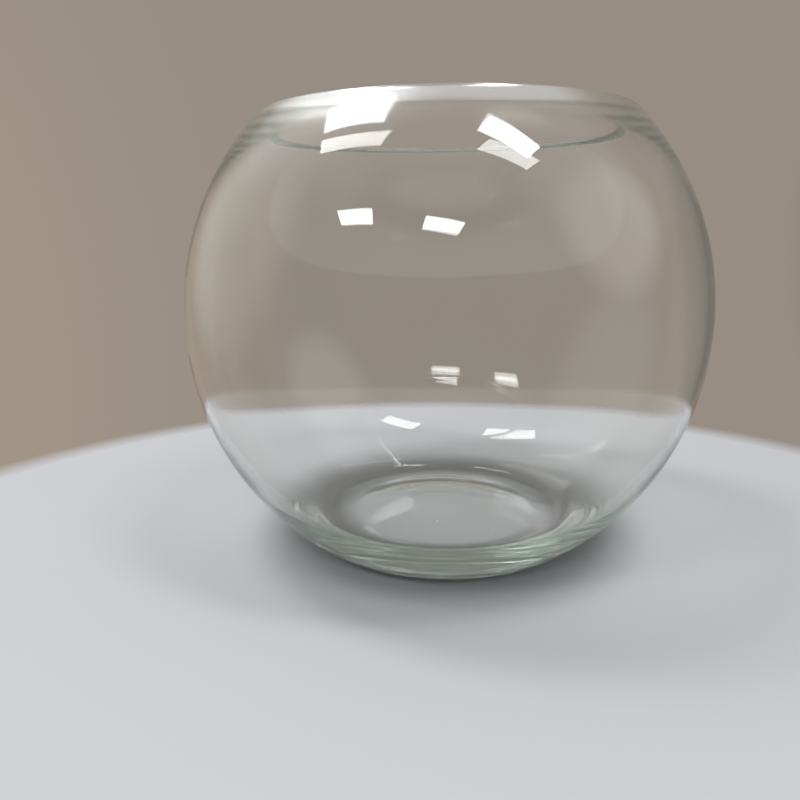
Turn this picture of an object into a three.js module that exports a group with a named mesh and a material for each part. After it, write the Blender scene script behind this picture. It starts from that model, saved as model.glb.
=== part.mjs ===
// A fishbowl vase: one piece of clear blown glass, open at the top, with a flat, thickened lip and a thick base.
// Units are millimetres and +Z is up. The origin is on the table, under the middle of the bowl.

import * as THREE from 'three';

// Outer shape
const bowlRadius = 115; // outside, at the widest ring
const bowlHeight = 189; // from the table to the top of the lip
const widestHeight = 103; // from the table to the widest ring
const mouthRadius = 80; // where the outside would meet the lip's flat top if the edge had no rounding
const heelRadius = 59; // where the outside would meet the table if the heel had no rounding

// Hollow
const wall = 2.4; // thickness of the glass where it is even, from the widest ring up to the even height
const throatRadius = 73.5; // the clear opening, within the lip's inner edge
const evenHeight = 146; // from the table to where the wall starts to thicken towards the lip
const heelWall = 4; // how much less deep the hollow's lower half is than the outside's, if both ran on to the axis
const floorThickness = 10;

// Details of the lip and the base
const outerEdge = 1.4; // how far the rounding of the lip's outer edge reaches along the top and down the wall
const innerEdge = 1.5; // radius of the lip's inner edge
const lipSlope = THREE.MathUtils.degToRad(30); // how steeply the inside leaves the lip, below the horizontal
const lipPull = 14.5; // how strongly the inside keeps its direction on leaving the lip
const wallPull = 19; // how strongly it keeps its direction on leaving the even wall
const footRadius = 55; // outer edge of the flat ring that the bowl stands on
const footRingWidth = 9;
const heelRise = 3; // height over which the heel is rounded
const pushUp = 2.5; // how far the middle of the underside is raised off the table
const floorBlend = 24; // height over which the wall turns into the floor

// Fineness of the mesh
const stepsAround = 72;
const stepsPerCurve = 4;

// How far an ellipse reaches above or below its middle, when it is this wide and passes through this point.
function halfHeightThrough(halfWidth, point) {
  return Math.abs(point.y - widestHeight) / Math.sqrt(1 - (point.x / halfWidth) ** 2);
}

// The point of such an ellipse at one height, below the widest ring.
function pointBelow(halfWidth, halfHeight, height) {
  const share = (widestHeight - height) / halfHeight;
  return new THREE.Vector2(halfWidth * Math.sqrt(1 - share ** 2), height);
}

// The angle that an ellipse's own formula gives to one height.
function angleAt(halfHeight, height) {
  return Math.asin((height - widestHeight) / halfHeight);
}

// A step of this length in this direction of the cross-section.
function lengthAt(angle, length) {
  return new THREE.Vector2(Math.cos(angle), Math.sin(angle)).multiplyScalar(length);
}

// The bowl's cross-section on one side of the axis, from the middle of the underside
// up the outside, over the lip and down the inside to the middle of the floor.
function bowlProfile() {
  const hollowRadius = bowlRadius - wall;
  const upperOutside = halfHeightThrough(bowlRadius, new THREE.Vector2(mouthRadius, bowlHeight));
  const upperInside = upperOutside - wall;
  const lowerOutside = halfHeightThrough(bowlRadius, new THREE.Vector2(heelRadius, 0));
  const lowerInside = lowerOutside - heelWall;

  const heelTop = pointBelow(bowlRadius, lowerOutside, heelRise);
  const footInnerRadius = footRadius - footRingWidth;

  // Between the lip's inner edge and the even wall the inside is one curve, which two guide points pull on.
  const edgeMiddle = new THREE.Vector2(throatRadius + innerEdge, bowlHeight - innerEdge);
  const edgeEnd = edgeMiddle.clone().sub(lengthAt(Math.PI / 2 - lipSlope, innerEdge));
  const lipGuide = edgeEnd.clone().add(lengthAt(-lipSlope, lipPull));
  const evenAngle = angleAt(upperInside, evenHeight);
  const evenTop = new THREE.Vector2(hollowRadius * Math.cos(evenAngle), evenHeight);
  const upTheWall = new THREE.Vector2(-hollowRadius * Math.sin(evenAngle), upperInside * Math.cos(evenAngle));
  const wallGuide = evenTop.clone().add(upTheWall.setLength(wallPull));

  // The wall's inside runs straight on from the blend's top to the corner, and the blend rounds that corner off.
  const blendTop = pointBelow(hollowRadius, lowerInside, floorThickness + floorBlend);
  const flare = (hollowRadius / lowerInside) ** 2 * (widestHeight - blendTop.y) / blendTop.x;
  const blendCorner = new THREE.Vector2(blendTop.x - flare * floorBlend, floorThickness);
  const blendEnd = blendCorner.x - blendCorner.distanceTo(blendTop);

  const profile = new THREE.Path();
  profile.moveTo(0, pushUp);
  profile.quadraticCurveTo(footInnerRadius / 2, pushUp, footInnerRadius, 0);
  profile.lineTo(footRadius, 0);
  profile.quadraticCurveTo(heelRadius, 0, heelTop.x, heelTop.y);
  profile.absellipse(0, widestHeight, bowlRadius, lowerOutside, angleAt(lowerOutside, heelTop.y), 0);
  profile.absellipse(0, widestHeight, bowlRadius, upperOutside, 0, angleAt(upperOutside, bowlHeight - outerEdge));
  profile.quadraticCurveTo(mouthRadius, bowlHeight, mouthRadius - outerEdge, bowlHeight);
  profile.absarc(edgeMiddle.x, edgeMiddle.y, innerEdge, Math.PI / 2, 3 * Math.PI / 2 - lipSlope);
  profile.bezierCurveTo(lipGuide.x, lipGuide.y, wallGuide.x, wallGuide.y, evenTop.x, evenTop.y);
  profile.absellipse(0, widestHeight, hollowRadius, upperInside, evenAngle, 0, true);
  profile.absellipse(0, widestHeight, hollowRadius, lowerInside, 0, angleAt(lowerInside, blendTop.y), true);
  profile.quadraticCurveTo(blendCorner.x, blendCorner.y, blendEnd, floorThickness);
  profile.lineTo(0, floorThickness);
  return profile.getPoints(stepsPerCurve);
}

function makeGlassBowl() {
  const geometry = new THREE.LatheGeometry(bowlProfile(), stepsAround);
  geometry.rotateX(Math.PI / 2);
  const clearGlass = new THREE.MeshStandardMaterial({
    color: 0xc9d6d0,
    roughness: 0.03,
    metalness: 0,
    transparent: true,
    opacity: 0.3,
  });
  const bowl = new THREE.Mesh(geometry, clearGlass);
  bowl.name = 'glass_bowl';
  return bowl;
}

const vase = new THREE.Group();
vase.add(makeGlassBowl());

export default vase;
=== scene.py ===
import math

import bpy
from mathutils import Matrix, Vector


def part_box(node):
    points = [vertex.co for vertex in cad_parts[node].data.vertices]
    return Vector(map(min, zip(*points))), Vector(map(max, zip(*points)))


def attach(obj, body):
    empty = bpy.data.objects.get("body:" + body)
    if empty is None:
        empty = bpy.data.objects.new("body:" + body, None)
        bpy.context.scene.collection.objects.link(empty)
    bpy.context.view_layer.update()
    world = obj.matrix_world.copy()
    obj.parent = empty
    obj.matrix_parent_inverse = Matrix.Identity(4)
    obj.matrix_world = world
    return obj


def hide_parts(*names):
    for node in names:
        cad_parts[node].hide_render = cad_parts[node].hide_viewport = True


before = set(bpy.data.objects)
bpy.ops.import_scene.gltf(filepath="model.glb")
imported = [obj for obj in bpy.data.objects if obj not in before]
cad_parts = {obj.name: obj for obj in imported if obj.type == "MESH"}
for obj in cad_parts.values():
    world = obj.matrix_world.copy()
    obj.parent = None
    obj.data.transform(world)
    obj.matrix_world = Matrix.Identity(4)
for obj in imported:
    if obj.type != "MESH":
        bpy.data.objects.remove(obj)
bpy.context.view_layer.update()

# Driving dimensions
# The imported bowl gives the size, and each value in millimetres below is for a bowl of the design height.
DESIGN_HEIGHT = 189
lowest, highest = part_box("glass_bowl")
MM = (highest.z - lowest.z) / DESIGN_HEIGHT

# Outer shape of the bowl, in metres
BOWL_RADIUS = (highest.x - lowest.x) / 2
BOWL_HEIGHT = highest.z - lowest.z
WIDEST_HEIGHT = 103 * MM
MOUTH_RADIUS = 80 * MM
HEEL_RADIUS = 59 * MM

# Hollow
WALL = 2.4 * MM
THROAT_RADIUS = 73.5 * MM
EVEN_HEIGHT = 146 * MM  # the wall thickens from here up to the lip
HEEL_WALL = 4 * MM  # how much less deep the hollow's lower half is than the outside's
FLOOR_THICKNESS = 10 * MM

# Details of the lip and the base
OUTER_EDGE = 1.4 * MM
INNER_EDGE = 1.5 * MM
LIP_SLOPE = math.radians(30)  # below the horizontal, where the inside leaves the lip
LIP_PULL = 14.5 * MM  # how strongly the inside keeps its direction on leaving the lip
WALL_PULL = 19 * MM  # how strongly it keeps its direction on leaving the even wall
FOOT_RADIUS = 55 * MM
FOOT_RING_WIDTH = 9 * MM
HEEL_RISE = 3 * MM  # height over which the heel is rounded
PUSH_UP = 2.5 * MM  # how far the middle of the underside is raised
FLOOR_BLEND = 24 * MM  # height over which the wall turns into the floor

# Fineness of the mesh
STEPS_AROUND = 360

# Marks of the glassmaker's hand, all much shallower than the wall
# Each wave climbs the bowl as a spiral, with its crests round the bowl, its climb and its start.
OUTSIDE_WAVE = 0.05 * MM
OUTSIDE_SPIRALS = ((3, 21 * MM, 0), (5, -13 * MM, 1.7))
THICKNESS_WAVE = 0.12 * MM
THICKNESS_SPIRALS = ((2, 33 * MM, 0.6), (3, -19 * MM, 2.9))

# The distances from the foot and from the lip over which the waves come up
OUTSIDE_FROM_FOOT = (4 * MM, 30 * MM)
OUTSIDE_FROM_LIP = (0, 10 * MM)
THICKNESS_FROM_FOOT = (20 * MM, 50 * MM)
THICKNESS_FROM_LIP = (4 * MM, 20 * MM)

# Glass
GLASS_COLOUR = (0.985, 0.99, 0.985, 1)
GLASS_INDEX = 1.52
THICK_COLOUR = (0.5, 0.62, 0.54, 1)
THICK_DENSITY = 8  # to the metre
SMEAR_CELLS = 28  # to the metre
SMEAR_ROUGHNESS = 0.02
RIPPLE_CELLS = 60  # to the metre
RIPPLE_DEPTH = 1 * MM
RIPPLE_STRENGTH = 0.02
LIP_ZONE = 20 * MM
LIP_ROUGHNESS = 0.18

# Light that the glass lets through, where it meets the surface squarely and where it meets it edge-on
LET_THROUGH = (0.96, 0.965, 0.96, 1)
LET_THROUGH_EDGE_ON = (0.5, 0.53, 0.51, 1)

# Painted shadow at the heel: near the foot the glass lets through less light than plain glass would, which
# darkens the floor round the foot
# A place's radius less so many times its height tells how far down the heel it is.
HEEL_STEEPNESS = 2
HEEL_PAINTED_SHADE_START = 40 * MM
HEEL_PAINTED_SHADE_FULL = 55 * MM
HEEL_LIGHT_LEFT = 0.1  # share of the light that comes through where the shade is full

# The photograph's viewpoint, with its turns in radians and its lens and sensor in their usual millimetres
CAMERA_PLACE = Vector((0, -340.6, 143.5)) * MM
CAMERA_DOWN = 0.2323
CAMERA_LEFT = 0.0607
CAMERA_ROLL = -0.009
CAMERA_LENS = 33.3
CAMERA_SENSOR = 36

# Floor
FLOOR_RADIUS = 310 * MM
FLOOR_SIDES = 96
FLOOR_FADE = 25 * MM
FLOOR_MIDDLE = Vector((0, -60, -0.05)) * MM
FLOOR_COLOUR = (0.58, 0.6, 0.64, 1)
FLOOR_ROUGHNESS = 0.8
FLOOR_SHINE = 0.2

# Light: flat panels in the ceiling
# Each has its place across and along, its length and its width in millimetres, and its turn in degrees.
LAMP_HEIGHT = 1700 * MM
LAMP_RADIANCE = 15
LAMPS = {
    "left_lamp": (-760, 52, 680, 330, -27),
    "right_lamp": (612, -440, 600, 255, -18.5),
    "far_left_lamp": (-1397, -1563, 610, 375, -21),
    "far_right_lamp": (-22, -2090, 640, 340, -16),
}

# The room: colours that cover one another, each round the direction that is given after it
# The two values are the cosines of the angles at which a colour starts and at which it is full.
BEHIND_CAMERA = (0.2, 0.2, 0.2, 1)
ROOM = (
    ((0.38, 0.38, 0.38, 1), (0, 0, -1), 0.3, 0.5),  # what lies round the floor
    ((0.31, 0.267, 0.228, 1), (0, 1, 0), -0.1, 0.25),  # the wall in front of the camera
    ((0.38, 0.315, 0.25, 1), (-0.9, 0.45, -0.1), 0.6, 1.0),  # its lighter left end
    ((0.18, 0.165, 0.14, 1), (0.74, 0.67, 0), 0.905, 0.96),  # the dark corner at its right end
    ((0.8, 0.75, 0.66, 1), (-0.91, 0.24, 0.34), 0.78, 0.97),  # a soft light on the left
    ((1.05, 1.0, 0.94, 1), (0.85, -0.15, 0.5), 0.88, 0.98),  # a soft light on the right
    ((0.54, 0.52, 0.5, 1), (0, 0, 1), 0.62, 0.8),  # the ceiling
    ((0.95, 0.95, 0.93, 1), (-0.5, 0.38, 0.78), 0.88, 0.97),  # its bright part
)


# The bowl's shape

def half_height_through(half_width, radius, height):
    """How far an ellipse reaches above or below the widest ring, when it passes through this point."""
    return abs(height - WIDEST_HEIGHT) / math.sqrt(1 - (radius / half_width) ** 2)


def angle_at(half_height, height):
    """The angle that an ellipse's own formula gives to one height."""
    return math.asin((height - WIDEST_HEIGHT) / half_height)


def radius_at(half_width, half_height, height):
    return half_width * math.cos(angle_at(half_height, height))


def length_at(angle, length):
    """A step of this length in this direction of the cross-section."""
    return Vector((length * math.cos(angle), length * math.sin(angle)))


def arc(middle, half_width, half_height, start, end, steps):
    """Points of an arc of an ellipse, without its last one."""
    points = []
    for i in range(steps):
        angle = start + (end - start) * i / steps
        points.append(middle + Vector((half_width * math.cos(angle), half_height * math.sin(angle))))
    return points


def curve(guides, steps):
    """The curve from the first guide point to the last, pulled by those between, without its last point."""
    points = []
    for i in range(steps):
        pulled = [Vector(guide) for guide in guides]
        while len(pulled) > 1:
            pulled = [a.lerp(b, i / steps) for a, b in zip(pulled, pulled[1:])]
        points += pulled
    return points


def lip_points(upper_outside, upper_inside):
    """The lip, from the outside of the wall over its flat top and down to where the wall is even."""
    corner_height = BOWL_HEIGHT - OUTER_EDGE
    corner_start = (radius_at(BOWL_RADIUS, upper_outside, corner_height), corner_height)
    corner_end = (MOUTH_RADIUS - OUTER_EDGE, BOWL_HEIGHT)

    edge_middle = Vector((THROAT_RADIUS + INNER_EDGE, BOWL_HEIGHT - INNER_EDGE))
    edge_turn = 3 * math.pi / 2 - LIP_SLOPE
    edge_end = edge_middle + length_at(edge_turn, INNER_EDGE)
    lip_guide = edge_end + length_at(-LIP_SLOPE, LIP_PULL)

    hollow_radius = BOWL_RADIUS - WALL
    even_angle = angle_at(upper_inside, EVEN_HEIGHT)
    even_top = Vector((hollow_radius * math.cos(even_angle), EVEN_HEIGHT))
    up_the_wall = Vector((-hollow_radius * math.sin(even_angle), upper_inside * math.cos(even_angle)))
    wall_guide = even_top + up_the_wall.normalized() * WALL_PULL

    points = curve((corner_start, (MOUTH_RADIUS, BOWL_HEIGHT), corner_end), steps=12)
    points += curve((corner_end, (edge_middle.x, BOWL_HEIGHT)), steps=6)
    points += arc(edge_middle, INNER_EDGE, INNER_EDGE, math.pi / 2, edge_turn, steps=28)
    points += curve((edge_end, lip_guide, wall_guide, even_top), steps=72)
    return points


def bowl_profile():
    """The cross-section from the middle of the underside over the lip to the middle of the floor."""
    widest_middle = Vector((0, WIDEST_HEIGHT))
    hollow_radius = BOWL_RADIUS - WALL
    upper_outside = half_height_through(BOWL_RADIUS, MOUTH_RADIUS, BOWL_HEIGHT)
    upper_inside = upper_outside - WALL
    lower_outside = half_height_through(BOWL_RADIUS, HEEL_RADIUS, 0)
    lower_inside = lower_outside - HEEL_WALL

    heel_top = (radius_at(BOWL_RADIUS, lower_outside, HEEL_RISE), HEEL_RISE)
    foot_inner_radius = FOOT_RADIUS - FOOT_RING_WIDTH
    corner_angle = angle_at(upper_outside, BOWL_HEIGHT - OUTER_EDGE)

    blend_height = FLOOR_THICKNESS + FLOOR_BLEND
    blend_top = (radius_at(hollow_radius, lower_inside, blend_height), blend_height)
    flare = (hollow_radius / lower_inside) ** 2 * (WIDEST_HEIGHT - blend_height) / blend_top[0]
    blend_corner = (blend_top[0] - flare * FLOOR_BLEND, FLOOR_THICKNESS)
    blend_end = (blend_corner[0] - math.dist(blend_corner, blend_top), FLOOR_THICKNESS)

    def wall(half_width, half_height, start, end, steps):
        return arc(widest_middle, half_width, half_height, start, end, steps)

    profile = []
    profile += curve(((0, PUSH_UP), (foot_inner_radius / 2, PUSH_UP), (foot_inner_radius, 0)), steps=20)
    profile += curve(((foot_inner_radius, 0), (FOOT_RADIUS, 0)), steps=4)
    profile += curve(((FOOT_RADIUS, 0), (HEEL_RADIUS, 0), heel_top), steps=10)
    profile += wall(BOWL_RADIUS, lower_outside, angle_at(lower_outside, HEEL_RISE), 0, steps=72)
    profile += wall(BOWL_RADIUS, upper_outside, 0, corner_angle, steps=96)
    profile += lip_points(upper_outside, upper_inside)
    profile += wall(hollow_radius, upper_inside, angle_at(upper_inside, EVEN_HEIGHT), 0, steps=36)
    profile += wall(hollow_radius, lower_inside, 0, angle_at(lower_inside, blend_height), steps=64)
    profile += curve((blend_top, blend_corner, blend_end), steps=24)
    profile += curve((blend_end, (0, FLOOR_THICKNESS)), steps=8)
    profile.append(Vector((0, FLOOR_THICKNESS)))
    return profile


def smooth_step(value, start, end):
    """0 up to the start, 1 from the end on, and an even rise between them."""
    t = min(max((value - start) / (end - start), 0), 1)
    return t * t * (3 - 2 * t)


def wave_share(height, from_foot, from_lip):
    """How much of the waves there is at one height, from 0 to 1."""
    return smooth_step(height, *from_foot) * smooth_step(BOWL_HEIGHT - height, *from_lip)


def wave(spirals, angle, height):
    """The mean of several waves, between -1 and 1."""
    heights = [math.cos(crests * angle + height / climb + start) for crests, climb, start in spirals]
    return sum(heights) / len(heights)


def outside_relief(angle, height):
    """How far the outside stands back from the perfect shape, in metres."""
    depth = 1 + wave(OUTSIDE_SPIRALS, angle, height)
    return OUTSIDE_WAVE * depth * wave_share(height, OUTSIDE_FROM_FOOT, OUTSIDE_FROM_LIP)


def inside_relief(angle, height):
    """How much thicker or thinner than the plan the wall is, measured on its inside, in metres."""
    depth = wave(THICKNESS_SPIRALS, angle, height)
    return THICKNESS_WAVE * depth * wave_share(height, THICKNESS_FROM_FOOT, THICKNESS_FROM_LIP)


def profile_normals(profile):
    """Unit vectors square to the outline, pointing out of the glass."""
    normals = []
    for i in range(len(profile)):
        before = profile[max(i - 1, 0)]
        after = profile[min(i + 1, len(profile) - 1)]
        across, up = after[0] - before[0], after[1] - before[1]
        length = math.hypot(across, up)
        normals.append((up / length, -across / length))
    return normals


def make_bowl():
    profile = bowl_profile()
    normals = profile_normals(profile)
    lip_top = max(range(len(profile)), key=lambda i: profile[i][1])
    vertices = [(0, 0, profile[0][1])]
    rings = profile[1:-1]
    for i, (radius, height) in enumerate(rings, start=1):
        relief = outside_relief if i <= lip_top else inside_relief
        for step in range(STEPS_AROUND):
            angle = 2 * math.pi * step / STEPS_AROUND
            back = relief(angle, height)
            r = radius - normals[i][0] * back
            z = height - normals[i][1] * back
            vertices.append((r * math.cos(angle), r * math.sin(angle), z))
    vertices.append((0, 0, profile[-1][1]))

    faces = []
    last = len(vertices) - 1
    for step in range(STEPS_AROUND):
        after = (step + 1) % STEPS_AROUND
        faces.append((0, 1 + after, 1 + step))
        for ring in range(len(rings) - 1):
            low = 1 + ring * STEPS_AROUND
            high = low + STEPS_AROUND
            faces.append((low + step, low + after, high + after, high + step))
        faces.append((last, last - STEPS_AROUND + step, last - STEPS_AROUND + after))

    mesh = bpy.data.meshes.new("blown_bowl")
    mesh.from_pydata(vertices, [], faces)
    mesh.shade_smooth()
    bowl = bpy.data.objects.new("blown_bowl", mesh)
    bpy.context.scene.collection.objects.link(bowl)
    mesh.materials.append(clear_glass())
    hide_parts("glass_bowl")
    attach(bowl, "root")


# Materials

def empty_material(name):
    made = bpy.data.materials.new(name)
    made.use_nodes = True
    made.node_tree.nodes.clear()
    return made, made.node_tree.nodes, made.node_tree.links


def noise(nodes, links, scale, detail):
    """A noise that is fixed to the piece, at so many cells to the metre."""
    place = nodes.new("ShaderNodeTexCoord")
    made = nodes.new("ShaderNodeTexNoise")
    made.inputs["Scale"].default_value = scale / MM / 1000
    made.inputs["Detail"].default_value = detail
    links.new(place.outputs["Object"], made.inputs["Vector"])
    return made.outputs["Fac"]


def radius_and_height(nodes, links):
    """How far a point of the bowl is from its axis and above its foot."""
    place = nodes.new("ShaderNodeTexCoord").outputs["Object"]
    split = nodes.new("ShaderNodeSeparateXYZ")
    links.new(place, split.inputs["Vector"])
    level = nodes.new("ShaderNodeVectorMath")
    level.operation = "MULTIPLY"
    level.inputs[1].default_value = (1, 1, 0)
    links.new(place, level.inputs[0])
    length = nodes.new("ShaderNodeVectorMath")
    length.operation = "LENGTH"
    links.new(level.outputs["Vector"], length.inputs[0])
    return length.outputs["Value"], split.outputs["Z"]


def scaled(nodes, links, value, from_low, from_high, to_low, to_high):
    made = nodes.new("ShaderNodeMapRange")
    made.inputs["From Min"].default_value = from_low
    made.inputs["From Max"].default_value = from_high
    made.inputs["To Min"].default_value = to_low
    made.inputs["To Max"].default_value = to_high
    links.new(value, made.inputs["Value"])
    return made.outputs["Result"]


def clear_glass():
    made, nodes, links = empty_material("clear_glass")

    glass = nodes.new("ShaderNodeBsdfPrincipled")
    glass.inputs["Base Color"].default_value = GLASS_COLOUR
    glass.inputs["Transmission Weight"].default_value = 1
    glass.inputs["IOR"].default_value = GLASS_INDEX

    # Faint smears where the bowl has been handled, and a lip that the fire has not left quite smooth
    radius, height = radius_and_height(nodes, links)
    smears = scaled(nodes, links, noise(nodes, links, SMEAR_CELLS, 5), 0.5, 0.75, 0.0, SMEAR_ROUGHNESS)
    lip = scaled(nodes, links, height, BOWL_HEIGHT - LIP_ZONE, BOWL_HEIGHT, 0.0, LIP_ROUGHNESS)
    rough = nodes.new("ShaderNodeMath")
    links.new(smears, rough.inputs[0])
    links.new(lip, rough.inputs[1])
    links.new(rough.outputs["Value"], glass.inputs["Roughness"])

    # The skin of blown glass is never quite even
    ripple = nodes.new("ShaderNodeBump")
    ripple.inputs["Strength"].default_value = RIPPLE_STRENGTH
    ripple.inputs["Distance"].default_value = RIPPLE_DEPTH
    links.new(noise(nodes, links, RIPPLE_CELLS, 1), ripple.inputs["Height"])
    links.new(ripple.outputs["Normal"], glass.inputs["Normal"])

    # Lamps shine through the glass, least where they meet it edge-on; near the heel a painted shadow cuts
    # the light further
    passing = nodes.new("ShaderNodeBsdfTransparent")
    slant = nodes.new("ShaderNodeLayerWeight")
    slant.inputs["Blend"].default_value = 0.5
    shade = nodes.new("ShaderNodeMix")
    shade.data_type = "RGBA"
    shade.inputs["A"].default_value = LET_THROUGH
    shade.inputs["B"].default_value = LET_THROUGH_EDGE_ON
    links.new(slant.outputs["Facing"], shade.inputs["Factor"])
    # Painted shadow round the foot: the light let through is dimmed further down the heel
    down_the_heel = nodes.new("ShaderNodeMath")
    down_the_heel.operation = "MULTIPLY_ADD"
    down_the_heel.inputs[1].default_value = -HEEL_STEEPNESS
    links.new(height, down_the_heel.inputs[0])
    links.new(radius, down_the_heel.inputs[2])
    light_left = scaled(
        nodes, links, down_the_heel.outputs["Value"],
        HEEL_PAINTED_SHADE_START, HEEL_PAINTED_SHADE_FULL, 1.0, HEEL_LIGHT_LEFT,
    )
    dimmed = nodes.new("ShaderNodeVectorMath")
    dimmed.operation = "SCALE"
    links.new(shade.outputs["Result"], dimmed.inputs[0])
    links.new(light_left, dimmed.inputs["Scale"])
    links.new(dimmed.outputs["Vector"], passing.inputs["Color"])

    ray = nodes.new("ShaderNodeLightPath")
    either = nodes.new("ShaderNodeMath")
    either.operation = "MAXIMUM"
    links.new(ray.outputs["Is Shadow Ray"], either.inputs[0])
    links.new(ray.outputs["Is Diffuse Ray"], either.inputs[1])
    surface = nodes.new("ShaderNodeMixShader")
    links.new(either.outputs["Value"], surface.inputs["Fac"])
    links.new(glass.outputs["BSDF"], surface.inputs[1])
    links.new(passing.outputs["BSDF"], surface.inputs[2])

    # The glass is faintly grey-green where it is thick
    body = nodes.new("ShaderNodeVolumeAbsorption")
    body.inputs["Color"].default_value = THICK_COLOUR
    body.inputs["Density"].default_value = THICK_DENSITY / MM / 1000

    output = nodes.new("ShaderNodeOutputMaterial")
    links.new(surface.outputs["Shader"], output.inputs["Surface"])
    links.new(body.outputs["Volume"], output.inputs["Volume"])
    return made


def pale_floor():
    """Pale and matt under the bowl, and fading out into the background all round it."""
    made, nodes, links = empty_material("pale_floor")
    matt = nodes.new("ShaderNodeBsdfPrincipled")
    matt.inputs["Base Color"].default_value = FLOOR_COLOUR
    matt.inputs["Roughness"].default_value = FLOOR_ROUGHNESS
    matt.inputs["Specular IOR Level"].default_value = FLOOR_SHINE

    place = nodes.new("ShaderNodeTexCoord")
    length = nodes.new("ShaderNodeVectorMath")
    length.operation = "LENGTH"
    links.new(place.outputs["Object"], length.inputs[0])
    fade = scaled(nodes, links, length.outputs["Value"], FLOOR_RADIUS - FLOOR_FADE, FLOOR_RADIUS, 0, 1)
    gone = nodes.new("ShaderNodeBsdfTransparent")
    surface = nodes.new("ShaderNodeMixShader")
    links.new(fade, surface.inputs["Fac"])
    links.new(matt.outputs["BSDF"], surface.inputs[1])
    links.new(gone.outputs["BSDF"], surface.inputs[2])
    output = nodes.new("ShaderNodeOutputMaterial")
    links.new(surface.outputs["Shader"], output.inputs["Surface"])
    return made


# The stage

def make_floor():
    """A round floor, so that its edge fades evenly."""
    mesh = bpy.data.meshes.new("floor")
    turns = [2 * math.pi * i / FLOOR_SIDES for i in range(FLOOR_SIDES)]
    corners = [(FLOOR_RADIUS * math.cos(turn), FLOOR_RADIUS * math.sin(turn), 0) for turn in turns]
    mesh.from_pydata(corners, [], [tuple(range(FLOOR_SIDES))])
    mesh.materials.append(pale_floor())
    floor = bpy.data.objects.new("floor", mesh)
    floor.location = FLOOR_MIDDLE
    bpy.context.scene.collection.objects.link(floor)


def make_world():
    """A plain room: warm grey in front of the camera, cooler behind it, with a soft light on each side."""
    world = bpy.data.worlds.new("room")
    bpy.context.scene.world = world
    world.use_nodes = True
    nodes, links = world.node_tree.nodes, world.node_tree.links
    nodes.clear()
    direction = nodes.new("ShaderNodeTexCoord").outputs["Generated"]
    colour = nodes.new("ShaderNodeRGB").outputs["Color"]
    colour.default_value = BEHIND_CAMERA
    for seen, middle, start, end in ROOM:
        nearness = nodes.new("ShaderNodeVectorMath")
        nearness.operation = "DOT_PRODUCT"
        nearness.inputs[1].default_value = Vector(middle).normalized()
        links.new(direction, nearness.inputs[0])
        share = nodes.new("ShaderNodeMapRange")
        share.interpolation_type = "SMOOTHSTEP"
        share.inputs["From Min"].default_value = start
        share.inputs["From Max"].default_value = end
        links.new(nearness.outputs["Value"], share.inputs["Value"])
        mix = nodes.new("ShaderNodeMix")
        mix.data_type = "RGBA"
        mix.inputs["B"].default_value = seen
        links.new(colour, mix.inputs["A"])
        links.new(share.outputs["Result"], mix.inputs["Factor"])
        colour = mix.outputs["Result"]

    background = nodes.new("ShaderNodeBackground")
    links.new(colour, background.inputs["Color"])
    output = nodes.new("ShaderNodeOutputWorld")
    links.new(background.outputs["Background"], output.inputs["Surface"])


def make_lamp(name, across, along, length, width, turn):
    """A flat lamp that shines straight down from the ceiling."""
    light = bpy.data.lights.new(name, "AREA")
    light.shape = "RECTANGLE"
    light.size = length * MM
    light.size_y = width * MM
    light.energy = LAMP_RADIANCE * math.pi * light.size * light.size_y
    lamp = bpy.data.objects.new(name, light)
    lamp.location = (across * MM, along * MM, LAMP_HEIGHT)
    lamp.rotation_euler.z = math.radians(turn)
    bpy.context.scene.collection.objects.link(lamp)


def make_lamps():
    for name, place_and_size in LAMPS.items():
        make_lamp(name, *place_and_size)


def make_camera():
    camera = bpy.data.objects.new("camera", bpy.data.cameras.new("camera"))
    camera.data.lens = CAMERA_LENS
    camera.data.sensor_width = CAMERA_SENSOR
    camera.data.clip_start = 10 * MM
    camera.data.clip_end = 20000 * MM
    turn = Matrix.Rotation(CAMERA_LEFT, 4, "Z")
    tilt = Matrix.Rotation(math.pi / 2 - CAMERA_DOWN, 4, "X")
    roll = Matrix.Rotation(CAMERA_ROLL, 4, "Z")
    camera.matrix_world = Matrix.Translation(CAMERA_PLACE) @ turn @ tilt @ roll
    bpy.context.scene.collection.objects.link(camera)
    bpy.context.scene.camera = camera


def set_up_render():
    scene = bpy.context.scene
    scene.view_settings.view_transform = "Standard"
    # Light that is caught in the lip runs on inside the wall for a long way
    scene.cycles.max_bounces = 96
    scene.cycles.transmission_bounces = 64
    scene.cycles.glossy_bounces = 64
    scene.cycles.transparent_max_bounces = 16


make_bowl()
make_floor()
make_world()
make_lamps()
make_camera()
set_up_render()
